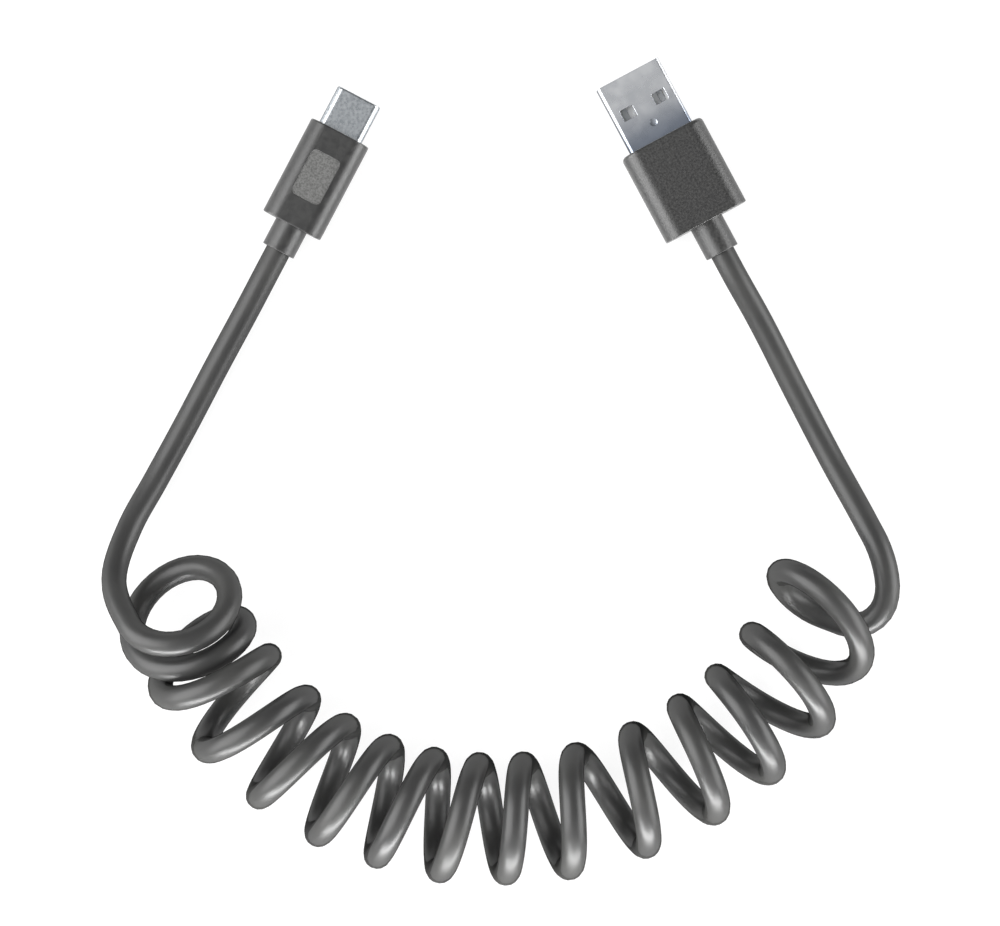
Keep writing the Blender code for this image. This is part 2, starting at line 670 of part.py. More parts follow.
def make_c_latches(frame):
    """Sprung strips in the windows at the slot's two ends."""
    slot_side = 0.5 * C_SLOT_WIDTH
    middle = slot_side + 0.5 * C_SLOT_SIDE
    bend = C_NOSE - C_LATCH_SETBACK
    for word, side in (("left", -1), ("right", 1)):
        path = [
            (C_SLOT_REAR - C_LATCH_ROOT, side * middle),
            (bend - 2 * C_LATCH_WIDTH, side * middle),
            (bend, side * (slot_side - C_LATCH_PRESS)),
            (bend + C_LATCH_WIDTH, side * slot_side),
        ]
        item = strip(path, C_LATCH_WIDTH, C_LATCH_THICKNESS, "y")
        place(item, "c_plug_latch_" + word, frame, steel)


def make_c_ground_springs(frame):
    """Thin plates let into the insulator near its nose, one below and one above the slot."""
    height = 0.5 * (C_INSULATOR_HEIGHT - C_SPRING_THICKNESS)
    along = C_NOSE - C_SPRING_SETBACK - 0.5 * C_SPRING_LENGTH
    for word, side in (("lower", -1), ("upper", 1)):
        item = box(C_SPRING_WIDTH, C_SPRING_THICKNESS, C_SPRING_LENGTH)
        place(item, "c_plug_ground_spring_" + word, frame, steel, (0, side * height, along))


def make_c_board(frame):
    """The small circuit board between the wires and the contacts, with its one resistor."""
    item = box(C_BOARD_WIDTH, C_BOARD_THICKNESS, C_BOARD_LENGTH)
    place(item, "c_plug_board", frame, board_green, (0, 0, 0.5 * (C_BOARD_REAR + C_BOARD_FRONT)))
    chip = box(*C_RESISTOR)
    place(chip, "c_plug_resistor", frame, black_plastic, (
        0.5 * (C_BOARD_WIDTH - C_RESISTOR[0]) - C_RESISTOR_SPOT[0],
        0.5 * (C_BOARD_THICKNESS + C_RESISTOR[1]) + FIT,
        C_BOARD_REAR + C_RESISTOR_SPOT[1] + 0.5 * C_RESISTOR[2],
    ))


def make_c_plug():
    frame = plug_frame("c_plug_frame", C_EXIT, C_HEADING, C_GRIP_HEIGHT)
    make_c_shell(frame)
    make_c_insulator(frame)
    make_c_contacts(frame)
    make_c_latches(frame)
    make_c_ground_springs(frame)
    make_c_board(frame)
    make_rear_shield("c_plug", frame, C_SHIELD_WIDTH, C_SHIELD_HEIGHT,
                     C_MOULD_FRONT + FIT, C_CAVITY_FRONT - FIT)
    make_jacket_end("c_plug", frame, C_JACKET_FRONT)
    make_ferrule("c_plug", frame, C_JACKET_FRONT)
    aside = 0.5 * (WIRE_DIAMETER + WIRE_GAP)
    above = 0.5 * (C_BOARD_THICKNESS + WIRE_DIAMETER) + FIT
    ends = {
        "black": (-aside, -above),
        "green": (-aside, above),
        "white": (aside, above),
        "red": (aside, -above),
    }
    paths = make_wires("c_plug", frame, ends, C_JACKET_FRONT, C_MOULD_FRONT, C_BOARD_REAR + WIRE_SEAT)
    make_inner_mould("c_plug", frame, C_SHIELD_WIDTH, C_MOULD_REAR, C_MOULD_FRONT, C_JACKET_FRONT, paths)
    wide = C_SHIELD_WIDTH + 2 * FIT
    cavities = [
        (rounded_outline(wide, MOULD_HEIGHT + 2 * FIT, MOULD_ROUND), C_CAVITY_REAR, C_MOULD_FRONT + FIT),
        (rounded_outline(wide, C_SHIELD_HEIGHT + 2 * FIT, SHIELD_ROUND), C_MOULD_REAR, C_CAVITY_FRONT),
    ]
    shell = rounded_outline(C_SHELL_WIDTH + 2 * FIT, C_SHELL_HEIGHT + 2 * FIT, 0.5 * C_SHELL_HEIGHT + FIT, 6)
    grip = (C_GRIP_WIDTH, C_GRIP_HEIGHT, C_GRIP_LENGTH, C_GRIP_ROUND)
    make_overmould("c_plug", frame, grip, (C_NECK_DIAMETER, C_NECK_LENGTH), cavities, shell)


# ================================================================ rectangular plug
def make_a_shell(frame):
    """Folded sheet metal tube with two latch holes above, two below and a dimple on top."""
    outer = rounded_outline(A_SHELL_WIDTH, A_SHELL_HEIGHT, A_SHELL_ROUND, 4)
    inner = rounded_outline(A_SHELL_WIDTH - 2 * A_SHELL_WALL, A_SHELL_HEIGHT - 2 * A_SHELL_WALL,
                            A_SHELL_ROUND - A_SHELL_WALL, 4)
    item = prism([outer, inner], A_TIP - A_SHELL_REAR)
    place(item, "a_plug_shell", frame, steel, (0, 0, 0.5 * (A_TIP + A_SHELL_REAR)))
    hole_rear = A_TIP - A_LATCH_SETBACK - 0.5 * A_LATCH_HOLE[1]
    for word, side in (("left", -1), ("right", 1)):
        cut_between(item, "a_plug_latch_holes_" + word, frame,
                    A_LATCH_HOLE[0], A_SHELL_HEIGHT + CUT_OVER, side * A_LATCH_OFFSET, 0,
                    hole_rear, hole_rear + A_LATCH_HOLE[1])
    dimple = rod(A_DIMPLE_DIAMETER, CUT_OVER, 20)
    dimple.data.transform(Matrix.Rotation(math.radians(90), 4, "X"))
    place(dimple, "a_plug_dimple", frame, None,
          (0, 0.5 * (A_SHELL_HEIGHT + CUT_OVER) - A_DIMPLE_DEPTH, A_TIP - A_DIMPLE_SETBACK))
    cut(item, dimple)
    shade_round(item)


def make_a_carrier(frame):
    """Plastic tongue in the lower half of the shell, with a groove for each contact."""
    item = box(A_CARRIER_WIDTH, A_CARRIER_HEIGHT, A_CARRIER_FRONT - A_CARRIER_REAR)
    corners = item.modifiers.new("corners", "BEVEL")
    corners.width = A_CARRIER_EDGE * MM
    corners.segments = 2
    corners.limit_method = "ANGLE"
    place(item, "a_plug_contact_carrier", frame, white_plastic,
          (0, 0.5 * (A_CARRIER_FLOOR + A_CARRIER_TOP), 0.5 * (A_CARRIER_FRONT + A_CARRIER_REAR)))
    for number, (across, setback) in enumerate(A_CONTACT_PLACES):
        cut_between(item, "a_plug_groove_%d" % number, frame,
                    A_CONTACT_WIDTH + 2 * FIT, 2 * (A_CONTACT_THICKNESS + FIT), across, A_CARRIER_TOP,
                    A_CARRIER_REAR - CUT_OVER, A_CARRIER_FRONT - setback + FIT)


def make_a_contacts(frame):
    """Flat strips let into the carrier, flush with its top.  The outer two reach further forward."""
    for number, (across, setback) in enumerate(A_CONTACT_PLACES):
        front = A_CARRIER_FRONT - setback
        item = box(A_CONTACT_WIDTH, A_CONTACT_THICKNESS, front - A_TAIL_REAR)
        place(item, "a_plug_contact_%d" % (number + 1), frame, gold,
              (across, A_CARRIER_TOP - 0.5 * A_CONTACT_THICKNESS, 0.5 * (front + A_TAIL_REAR)))


def make_a_plug():
    frame = plug_frame("a_plug_frame", A_EXIT, A_HEADING, A_GRIP_HEIGHT)
    make_a_shell(frame)
    make_a_carrier(frame)
    make_a_contacts(frame)
    make_rear_shield("a_plug", frame, A_SHIELD_WIDTH, A_SHIELD_HEIGHT,
                     A_MOULD_FRONT + FIT, A_CAVITY_FRONT - FIT)
    make_jacket_end("a_plug", frame, A_JACKET_FRONT)
    make_ferrule("a_plug", frame, A_JACKET_FRONT)
    above = A_CARRIER_TOP + FIT + 0.5 * WIRE_DIAMETER
    colours = ("black", "green", "white", "red")
    ends = {colour: (spot[0], above) for colour, spot in zip(colours, A_CONTACT_PLACES)}
    paths = make_wires("a_plug", frame, ends, A_JACKET_FRONT, A_TAIL_REAR, A_TAIL_REAR + WIRE_SEAT)
    make_inner_mould("a_plug", frame, A_SHIELD_WIDTH, A_MOULD_REAR, A_MOULD_FRONT, A_JACKET_FRONT, paths)
    wide = A_SHIELD_WIDTH + 2 * FIT
    cavities = [
        (rounded_outline(wide, MOULD_HEIGHT + 2 * FIT, MOULD_ROUND), A_CAVITY_REAR, A_MOULD_FRONT + FIT),
        (rounded_outline(wide, A_SHIELD_HEIGHT + 2 * FIT, SHIELD_ROUND), A_MOULD_FRONT, A_CAVITY_FRONT),
    ]
    shell = rounded_outline(A_SHELL_WIDTH + 2 * FIT, A_SHELL_HEIGHT + 2 * FIT, A_SHELL_ROUND + FIT, 4)
    grip = (A_GRIP_WIDTH, A_GRIP_HEIGHT, A_GRIP_LENGTH, A_GRIP_ROUND)
    make_overmould("a_plug", frame, grip, (A_NECK_DIAMETER, A_NECK_LENGTH), cavities, shell)


# ================================================================ cord
def make_cord():
    curls = curl_points(CURL_POINTS, CURL_TAIL_STEP)
    coil = as_mesh(tube(curls, CORD_DIAMETER, 1))
    place(coil, "coil", None, jacket_grey)
    measured = curl_points(4 * CURL_POINTS, 0.25 * CURL_TAIL_STEP)
    print("least gap of the curly cord to itself: %.2f mm" % least_self_gap(measured))

    neck, out = neck_end(C_EXIT, C_HEADING, C_GRIP_HEIGHT)
    points = lead_points(neck, out, C_LEAD_ROUTE, curls[0], (curls[0] - curls[1]).normalized())
    lead = as_mesh(tube(points, CORD_DIAMETER, 4))
    place(lead, "c_lead", None, jacket_grey)
    shade_round(lead)

    neck, out = neck_end(A_EXIT, A_HEADING, A_GRIP_HEIGHT)
    points = lead_points(curls[-1], (curls[-1] - curls[-2]).normalized(), A_LEAD_ROUTE, neck, out)
    lead = as_mesh(tube(points, CORD_DIAMETER, 4))
    place(lead, "a_lead", None, jacket_grey)
    shade_round(lead)


empty_the_scene()
parts = new_collection("coiled_charging_cable")
cutters = new_collection("cutters")
soft_grey = new_material("grey moulded elastomer", (0.062, 0.062, 0.064), 0.55)
jacket_grey = new_material("grey cord jacket", (0.070, 0.070, 0.072), 0.45)
steel = new_material("nickel-plated steel", (0.60, 0.62, 0.64), 0.28, 1.0)
brass = new_material("tinned brass", (0.62, 0.55, 0.38), 0.35, 1.0)
gold = new_material("gold-plated bronze", (0.83, 0.62, 0.26), 0.25, 1.0)
black_plastic = new_material("black moulded plastic", (0.012, 0.012, 0.013), 0.5)
white_plastic = new_material("white moulded plastic", (0.72, 0.72, 0.70), 0.45)
inner_plastic = new_material("cloudy inner mould", (0.55, 0.55, 0.52), 0.5)
board_green = new_material("green board", (0.02, 0.14, 0.05), 0.4)
wire_colours = {
    "black": new_material("black wire", (0.015, 0.015, 0.015), 0.4),
    "green": new_material("green wire", (0.03, 0.30, 0.08), 0.4),
    "white": new_material("white wire", (0.75, 0.75, 0.73), 0.4),
    "red": new_material("red wire", (0.45, 0.02, 0.02), 0.4),
}
make_c_plug()
make_a_plug()
make_cord()
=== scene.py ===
"""Coiled charging cable, seen from straight above on a white surface.

Metres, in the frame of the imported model: +X from the oval plug to the rectangular plug, +Z up, and the
curly cord lies towards -Y.  Sizes are written in millimetres and turned to metres where they are used.
"""
import math

import bmesh
import bpy
import numpy as np
from mathutils import Matrix, Vector


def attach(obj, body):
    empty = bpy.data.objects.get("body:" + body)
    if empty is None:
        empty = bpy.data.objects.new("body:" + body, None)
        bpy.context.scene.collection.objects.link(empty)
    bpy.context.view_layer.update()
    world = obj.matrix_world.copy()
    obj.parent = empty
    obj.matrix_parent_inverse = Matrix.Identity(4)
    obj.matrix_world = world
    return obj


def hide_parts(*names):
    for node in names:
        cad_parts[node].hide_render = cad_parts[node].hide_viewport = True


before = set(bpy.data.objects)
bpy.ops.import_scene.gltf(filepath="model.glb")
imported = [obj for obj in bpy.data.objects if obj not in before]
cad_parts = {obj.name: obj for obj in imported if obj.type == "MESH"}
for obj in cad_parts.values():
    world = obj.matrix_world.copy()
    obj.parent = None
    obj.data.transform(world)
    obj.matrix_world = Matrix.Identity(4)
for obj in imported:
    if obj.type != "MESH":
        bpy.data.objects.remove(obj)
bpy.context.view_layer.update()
scene = bpy.context.scene

# ------------------------------------------------------------------------------------------------ camera
# A long lens straight above the middle of the cable.  It stands near enough for the rear ends of the
# plugs to show as a thin strip.
MM = 0.001
CAMERA_HEIGHT = 800.0
CAMERA_PLAN = (-0.67, -52.84)
PIXELS_PER_MM = 5.75
SHARP_HEIGHT = 4.0           # the height at which that scale holds
PHOTO_WIDTH = 1000

lens = bpy.data.cameras.new("camera")
lens.sensor_width = 36.0
lens.lens = PIXELS_PER_MM * (CAMERA_HEIGHT - SHARP_HEIGHT) * lens.sensor_width / PHOTO_WIDTH
camera = bpy.data.objects.new("camera", lens)
camera.location = (CAMERA_PLAN[0] * MM, CAMERA_PLAN[1] * MM, CAMERA_HEIGHT * MM)
scene.collection.objects.link(camera)
scene.camera = camera
scene.view_settings.view_transform = "Standard"

# ------------------------------------------------------------------------------------------------ studio
# A white surface under soft panels: a tall one at the left, a low one at the right, a strip in front of
# the curls, and a dim sky that brightens towards its edge.  The surface keeps a faint shadow.


def linear(code):
    """An sRGB hex colour as the linear colour that shaders take."""
    channels = [int(code[place:place + 2], 16) / 255 for place in (1, 3, 5)]
    return (*[c / 12.92 if c <= 0.04045 else ((c + 0.055) / 1.055) ** 2.4 for c in channels], 1.0)


def add_node(owner, kind, settings=None, values=None, links=None):
    """Add a node, give it its settings and socket values, and link other nodes' outputs into it."""
    tree = owner.node_tree
    node = tree.nodes.new(kind)
    for name, value in (settings or {}).items():
        setattr(node, name, value)
    for name, value in (values or {}).items():
        node.inputs[name].default_value = value
    for name, (source, output) in (links or {}).items():
        tree.links.new(source.outputs[output], node.inputs[name])
    return node


SKY_TOP = 0.47
SKY_EDGE = 0.95
SKY_EDGE_SINE = 0.45         # the sine of the height at which the sky has its top's brightness
SKY_BEHIND = 0.30            # how much of the sky is left behind the plugs, towards +Y
BEHIND_SINES = (0.1, 0.8)    # between which it falls to that
# How much of the sky is left to the right, by the sine of the angle from straight up: a dark card hangs
# above the right panel.
SKY_CARD = ((0.08, 1.0), (0.34, 0.35), (0.50, 0.35), (0.74, 0.85))
sky = bpy.data.worlds.new("studio sky")
scene.world = sky
sky.use_nodes = True
sky_shader = sky.node_tree.nodes["Background"]
direction = add_node(sky, "ShaderNodeTexCoord")
direction_parts = add_node(sky, "ShaderNodeSeparateXYZ", links={"Vector": (direction, "Generated")})
sky_level = add_node(sky, "ShaderNodeMapRange", {"interpolation_type": "SMOOTHSTEP"},
                     {"From Max": SKY_EDGE_SINE, "To Min": SKY_EDGE, "To Max": SKY_TOP},
                     {"Value": (direction_parts, "Z")})
sky_behind = add_node(sky, "ShaderNodeMapRange", {"interpolation_type": "SMOOTHSTEP"},
                      {"From Min": BEHIND_SINES[0], "From Max": BEHIND_SINES[1],
                       "To Min": 1.0, "To Max": SKY_BEHIND},
                      {"Value": (direction_parts, "Y")})
sky_card = add_node(sky, "ShaderNodeValToRGB", links={"Fac": (direction_parts, "X")})
sky_card.color_ramp.interpolation = "EASE"
while len(sky_card.color_ramp.elements) < len(SKY_CARD):
    sky_card.color_ramp.elements.new(1.0)
for stop, (sine, level) in zip(sky_card.color_ramp.elements, SKY_CARD):
    stop.position = sine
    stop.color = (level, level, level, 1.0)
sky_most = add_node(sky, "ShaderNodeMath", {"operation": "MULTIPLY"},
                    links={0: (sky_level, "Result"), 1: (sky_behind, "Result")})
sky_total = add_node(sky, "ShaderNodeMath", {"operation": "MULTIPLY"},
                     links={0: (sky_most, "Value"), 1: (sky_card, "Color")})
sky.node_tree.links.new(sky_total.outputs["Value"], sky_shader.inputs["Strength"])
sky_shader.inputs["Color"].default_value = linear("#ffffff")

# name, place in mm, width and height in mm, watts
PANELS = [
    ("left panel", (-600, -60, 400), (760, 860), 11.6),
    ("right panel", (600, -60, 250), (760, 480), 6.6),
    ("front strip", (0, -560, 62), (760, 120), 9.5),
]
PANEL_AIM = (0, -55, 6)
for name, spot, size, watts in PANELS:
    lamp = bpy.data.lights.new(name, "AREA")
    lamp.shape = "RECTANGLE"
    lamp.size, lamp.size_y = (side * MM for side in size)
    lamp.energy = watts
    panel = bpy.data.objects.new(name, lamp)
    panel.location = Vector(spot) * MM
    panel.rotation_euler = (Vector(PANEL_AIM) - Vector(spot)).to_track_quat("-Z", "Y").to_euler()
    panel.visible_camera = False
    scene.collection.objects.link(panel)

FLOOR_SIZE = 12000.0
FLOOR_WHITE = "#777777"      # what is lit, and so shows the shadow
FLOOR_GLOW = 0.86            # what camera, mirror and glass rays see besides
floor_mesh = bpy.data.meshes.new("floor")
half = 0.5 * FLOOR_SIZE * MM
floor_corners = [(-half, -half, 0), (half, -half, 0), (half, half, 0), (-half, half, 0)]
floor_mesh.from_pydata(floor_corners, [], [(0, 1, 2, 3)])
floor = bpy.data.objects.new("floor", floor_mesh)
scene.collection.objects.link(floor)
white_card = bpy.data.materials.new("white card")
white_card.use_nodes = True
card_nodes = white_card.node_tree.nodes
card_nodes.remove(card_nodes["Principled BSDF"])
ray = add_node(white_card, "ShaderNodeLightPath")
seen = add_node(white_card, "ShaderNodeMath", {"operation": "ADD"},
                links={0: (ray, "Is Camera Ray"), 1: (ray, "Is Glossy Ray")})
seen_any = add_node(white_card, "ShaderNodeMath", {"operation": "ADD", "use_clamp": True},
                    links={0: (seen, "Value"), 1: (ray, "Is Transmission Ray")})
glow = add_node(white_card, "ShaderNodeMath", {"operation": "MULTIPLY"}, {1: FLOOR_GLOW},
                {0: (seen_any, "Value")})
card_glow = add_node(white_card, "ShaderNodeEmission", links={"Strength": (glow, "Value")})
card_face = add_node(white_card, "ShaderNodeBsdfDiffuse", values={"Color": linear(FLOOR_WHITE)})
card_sum = add_node(white_card, "ShaderNodeAddShader",
                    links={0: (card_glow, "Emission"), 1: (card_face, "BSDF")})
white_card.node_tree.links.new(card_sum.outputs["Shader"], card_nodes["Material Output"].inputs["Surface"])
floor_mesh.materials.append(white_card)

# ------------------------------------------------------------------------------------------------ cord
# One length of round cord from inside one plug to inside the other: four insulated wires and a braid in
# an extruded jacket.  Its middle was wound hot on a bar, left-handed, so it springs back into curls.
CORD_DIAMETER = 4.4
CURL_RADIUS = 9.35
FIRST_TURN = 1.0
LAST_TURN = 15.75
POINTS_PER_TURN = 36
LEAD_STEP = 1.6              # between the points of the straight leads
TANGENT_TURN = 0.001         # the part of a turn over which the first curl's direction is taken
RUN_IN = 2 * CORD_DIAMETER   # the straight stretch by which the first lead enters the curls
C_JACKET_FRONT = 9.25        # how far the cord goes on inside each plug
A_JACKET_FRONT = 9.35

# turn, x, y, heading of the curls' axis in degrees, lean of the curl in degrees, height off the surface
CURL_STATIONS = [
    (1.0, -56.1, -75.8, -64, 42, 6.9),
    (1.5, -56.0, -77.9, -63, 50, 3.4),
    (2.0, -55.4, -80.3, -64, 42, 0.7),
    (2.5, -53.3, -84.5, -65, 29, 0.1),
    (3.0, -51.1, -87.2, -58, 15, 0.2),
    (4.0, -44.4, -96.1, -51, 3, 0.0),
    (5.0, -36.4, -103.0, -39, -6, 0.0),
    (6.0, -27.9, -108.4, -27, -3, 0.0),
    (7.0, -18.9, -111.7, -19, -5, 0.0),
    (8.0, -9.7, -113.8, -9, -2, 0.0),
    (9.0, -0.1, -114.1, 2, -2, 0.0),
    (10.0, 9.2, -113.4, 12, -1, 0.0),
    (11.0, 20.9, -110.2, 22, -2, 0.0),
    (12.0, 31.3, -105.2, 32, 2, 0.0),
    (13.0, 39.8, -99.1, 41, 4, 0.0),
    (14.0, 47.1, -92.2, 53, 8, 0.0),
    (15.0, 53.3, -82.5, 56, 22, 0.0),
    (15.5, 55.2, -77.4, 52, 27, 0.0),
    (16.0, 56.8, -72.4, 45, 30, 0.0),
]
CURL_TAIL_ROUTE = [
    (57.3, -80.1, 2.3),
    (60.5, -81.1, 3.0),
    (63.6, -80.4, 4.3),
    (65.8, -78.0, 5.7),
    (66.5, -74.6, 6.8),
    (66.1, -71.2, 7.0),
    (64.8, -67.0, 6.4),
    (63.1, -63.6, 5.5),
]
C_LEAD_ROUTE = [
    (-44.1, -25.0, 2.8),
    (-49.9, -35.7, 2.3),
    (-55.8, -46.9, 2.15),
    (-60.8, -56.1, 2.6),
    (-64.9, -63.8, 4.6),
]
A_LEAD_ROUTE = [
    (57.0, -52.1, 2.5),
    (51.0, -40.5, 2.15),
    (44.1, -27.1, 3.0),
]
C_EXIT = (-39.3, -15.9, 3.1)     # the middle of each neck's end face, and the plug's heading in degrees
C_HEADING = 62.2
A_EXIT = (38.0, -16.2, 4.0)
A_HEADING = 118.2


def hermite(knots, rows, where):
    """Read a smooth curve through rows of numbers at uneven knots."""
    last = len(knots) - 1
    number = int(np.clip(np.searchsorted(knots, where, side="right") - 1, 0, last - 1))

    def slope(row):
        before = max(0, row - 1)
        after = min(last, row + 1)
        if before == row or after == row:
            return (rows[after] - rows[before]) / (knots[after] - knots[before])
        back = (rows[row] - rows[before]) / (knots[row] - knots[before])
        ahead = (rows[after] - rows[row]) / (knots[after] - knots[row])
        weight = (knots[after] - knots[row]) / (knots[after] - knots[before])
        return back * weight + ahead * (1.0 - weight)

    span = knots[number + 1] - knots[number]
    part = (where - knots[number]) / span
    start = rows[number] * (2 * part ** 3 - 3 * part ** 2 + 1)
    start_slope = slope(number) * span * (part ** 3 - 2 * part ** 2 + part)
    end = rows[number + 1] * (3 * part ** 2 - 2 * part ** 3)
    end_slope = slope(number + 1) * span * (part ** 3 - part ** 2)
    return start + start_slope + end + end_slope


def curl_point(turn):
    """The middle of the curly cord after so many turns about its leaning axis."""
    stations = np.array(CURL_STATIONS, dtype=float)
    x, y, heading, lean, lift = hermite(stations[:, 0], stations[:, 1:], turn)
    heading, lean = math.radians(heading), math.radians(lean)
    forwards = np.array((math.cos(heading), math.sin(heading), 0.0))
    sideways = np.array((-forwards[1], forwards[0], 0.0))
    upwards = forwards * math.sin(lean) + np.array((0.0, 0.0, math.cos(lean)))
    middle = np.array((x, y, CURL_RADIUS * math.cos(lean) + 0.5 * CORD_DIAMETER + lift))
    angle = 2 * math.pi * turn
    return middle + CURL_RADIUS * (math.sin(angle) * upwards - math.cos(angle) * sideways)


def smooth_route(rows, step, skip_first=0, skip_last=0):
    """Points at an even step on a smooth curve through rows, less the stretches beyond the skipped rows."""
    rows = np.array(rows, dtype=float)
    knots = np.concatenate(([0.0], np.cumsum(np.linalg.norm(np.diff(rows, axis=0), axis=1))))
    start, end = knots[skip_first], knots[len(knots) - 1 - skip_last]
    count = max(2, round((end - start) / step))
    return [hermite(knots, rows, start + (end - start) * number / count) for number in range(count + 1)]


def along_plug(exit_point, heading, distance):
    """A point on a plug's middle line, so far from its neck's end towards its mouth."""
    angle = math.radians(heading)
    return np.array(exit_point) + distance * np.array((math.cos(angle), math.sin(angle), 0.0))


turn_step = 1.0 / POINTS_PER_TURN
turns = np.arange(FIRST_TURN, LAST_TURN + 0.5 * turn_step, turn_step)
curls = [curl_point(turn) for turn in turns]
run_in = curl_point(FIRST_TURN - TANGENT_TURN) - curls[0]
run_in *= RUN_IN / np.linalg.norm(run_in)
c_neck = [along_plug(C_EXIT, C_HEADING, distance)
          for distance in (C_JACKET_FRONT, 0.5 * C_JACKET_FRONT, 0.0, -CORD_DIAMETER)]
a_neck = [along_plug(A_EXIT, A_HEADING, distance)
          for distance in (-CORD_DIAMETER, 0.0, 0.5 * A_JACKET_FRONT, A_JACKET_FRONT)]
c_route = c_neck + C_LEAD_ROUTE + [curls[0] + run_in, curls[0], curls[2]]
a_route = [curls[-3], curls[-1]] + CURL_TAIL_ROUTE + A_LEAD_ROUTE + a_neck
c_lead = smooth_route(c_route, LEAD_STEP, skip_last=1)
a_lead = smooth_route(a_route, LEAD_STEP, skip_first=1)
cord_points = c_lead[:-1] + curls + a_lead[1:]

line = bpy.data.curves.new("cord", "CURVE")
line.dimensions = "3D"
line.bevel_depth = 0.5 * CORD_DIAMETER * MM
line.bevel_resolution = 6
line.use_fill_caps = True
spline = line.splines.new("POLY")
spline.points.add(len(cord_points) - 1)
for number, point in enumerate(cord_points):
    spline.points[number].co = (*(Vector(point) * MM), 1.0)
spline.use_smooth = True
cord = bpy.data.objects.new("cord", line)
scene.collection.objects.link(cord)


PATCH_STOPS = (0.35, 0.65)    # a noise is seldom below or above these


def mottled(name, colours, roughness, patch, grain, depth, metallic=0.0, shine=None, **values):
    """A material with patches of two colours and two roughnesses, and a fine grain of some depth.
    Patch, grain and depth are in mm.  Shine is the specular level face on, and how far a surface has
    turned from the eye (0 face on, 1 edge on) where the level starts to fade and where it is gone.
    Other values go to the shader's sockets of those names."""
    material = bpy.data.materials.new(name)
    material.use_nodes = True
    shader = material.node_tree.nodes["Principled BSDF"]
    shader.inputs["Metallic"].default_value = metallic
    for socket, value in values.items():
        shader.inputs[socket.replace("_", " ")].default_value = value
    spot = add_node(material, "ShaderNodeTexCoord")
    patches = add_node(material, "ShaderNodeTexNoise", values={"Scale": 1 / (patch * MM), "Detail": 4.0},
                       links={"Vector": (spot, "Object")})
    tint = add_node(material, "ShaderNodeValToRGB", links={"Fac": (patches, "Fac")})
    for stop, place, colour in zip(tint.color_ramp.elements, PATCH_STOPS, colours):
        stop.position = place
        stop.color = linear(colour)
    gloss = add_node(material, "ShaderNodeMapRange",
                     values={"From Min": PATCH_STOPS[0], "From Max": PATCH_STOPS[1],
                             "To Min": roughness[0], "To Max": roughness[1]},
                     links={"Value": (patches, "Fac")})
    grains = add_node(material, "ShaderNodeTexNoise", values={"Scale": 1 / (grain * MM), "Detail": 2.0},
                      links={"Vector": (spot, "Object")})
    relief = add_node(material, "ShaderNodeBump", values={"Strength": 1.0, "Distance": depth * MM},
                      links={"Height": (grains, "Fac")})
    wires = material.node_tree.links
    wires.new(tint.outputs["Color"], shader.inputs["Base Color"])
    wires.new(gloss.outputs["Result"], shader.inputs["Roughness"])
    wires.new(relief.outputs["Normal"], shader.inputs["Normal"])
    if shine is not None:
        level, fade_start, fade_end = shine
        facing = add_node(material, "ShaderNodeLayerWeight", values={"Blend": 0.5})
        fade = add_node(material, "ShaderNodeMapRange",
                        values={"From Min": fade_start, "From Max": fade_end,
                                "To Min": level, "To Max": 0.0},
                        links={"Value": (facing, "Facing")})
        wires.new(fade.outputs["Result"], shader.inputs["Specular IOR Level"])
    return material


# Extruded thermoplastic elastomer: a soft satin skin, nearly smooth, with faint cloudy patches where it
# has been handled and a fine orange peel from the die.  Its rim scatters light instead of mirroring it.
jacket = mottled("extruded elastomer jacket", ("#303030", "#373736"), (0.36, 0.44),
                 patch=9.0, grain=0.35, depth=0.004, shine=(0.40, 0.32, 0.76))
line.materials.append(jacket)

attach(cord, "root")
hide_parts("c_lead", "coil", "a_lead", "c_plug_jacket_end", "a_plug_jacket_end")

# ------------------------------------------------------------------------------------------- oval grip
# The oval plug's grip and its short neck are one moulding of elastomer, shot round the shell, the shield
# and the jacket.  A shallow bare pad with a rough grain is let into its top.
SHARP_ANGLE = 30             # degrees; flatter edges than this are shaded smooth
CORNER_STEPS = 10            # in a quarter of a round corner
ROLL_STEPS = 4               # in the rounding of an edge
CORD_BORE = CORD_DIAMETER + 0.1
NECK_ROLL = 0.15             # the rounding of a neck's end
WINDOW_ROLL = 0.08           # the rounding of the hole that the shell comes out of

C_NECK = (5.0, 6.0)          # length and diameter
C_GRIP = (11.2, 6.2, 3.0)    # width, height and radius of the round sides
C_REAR_ROLL = (0.25, 0.25, 0.08)               # an edge's rounding along the plug, across it and up it
C_FRONT_ROLL = (0.3, 0.3, 0.3)
C_GRIP_FACE = 23.2           # places along the plug, from the end of its neck
C_CAVITY = (8.95, 5.4, 1.2, 7.3, 13.4)         # round the inner mould: width, height, radius, from, to
C_SHIELD_CAVITY = (8.95, 4.0, 0.6, 13.4, 21.8)
C_WINDOW = (8.35, 2.5, 1.25)
C_PAD = (8.7, 5.6, 1.0)      # length, width and corner radius
C_PAD_MIDDLE = 14.3
C_PAD_DEPTH = 0.12
C_PAD_ROLL = 0.06
FLAT_SLACK = 0.05            # how far a face may lie from a flat, in mm, and how far it may tilt, as a
FLAT_NORMAL = 0.9            # cosine, to be taken as part of it
CUTTER_RISE = 1.0            # how far a cutter stands out of what it cuts


def plug_frame(exit_point, heading):
    """A plug's own frame: x across it, y up, and z from the end of its neck towards its mouth."""
    turn = Matrix.Rotation(math.radians(heading + 90), 4, "Z") @ Matrix.Rotation(math.radians(90), 4, "X")
    return Matrix.Translation(Vector(exit_point) * MM) @ turn


# Turns rings so that they follow one another upwards, with their width along the plug
UPRIGHT = Matrix(((0, 1, 0, 0), (0, 0, 1, 0), (1, 0, 0, 0), (0, 0, 0, 1)))


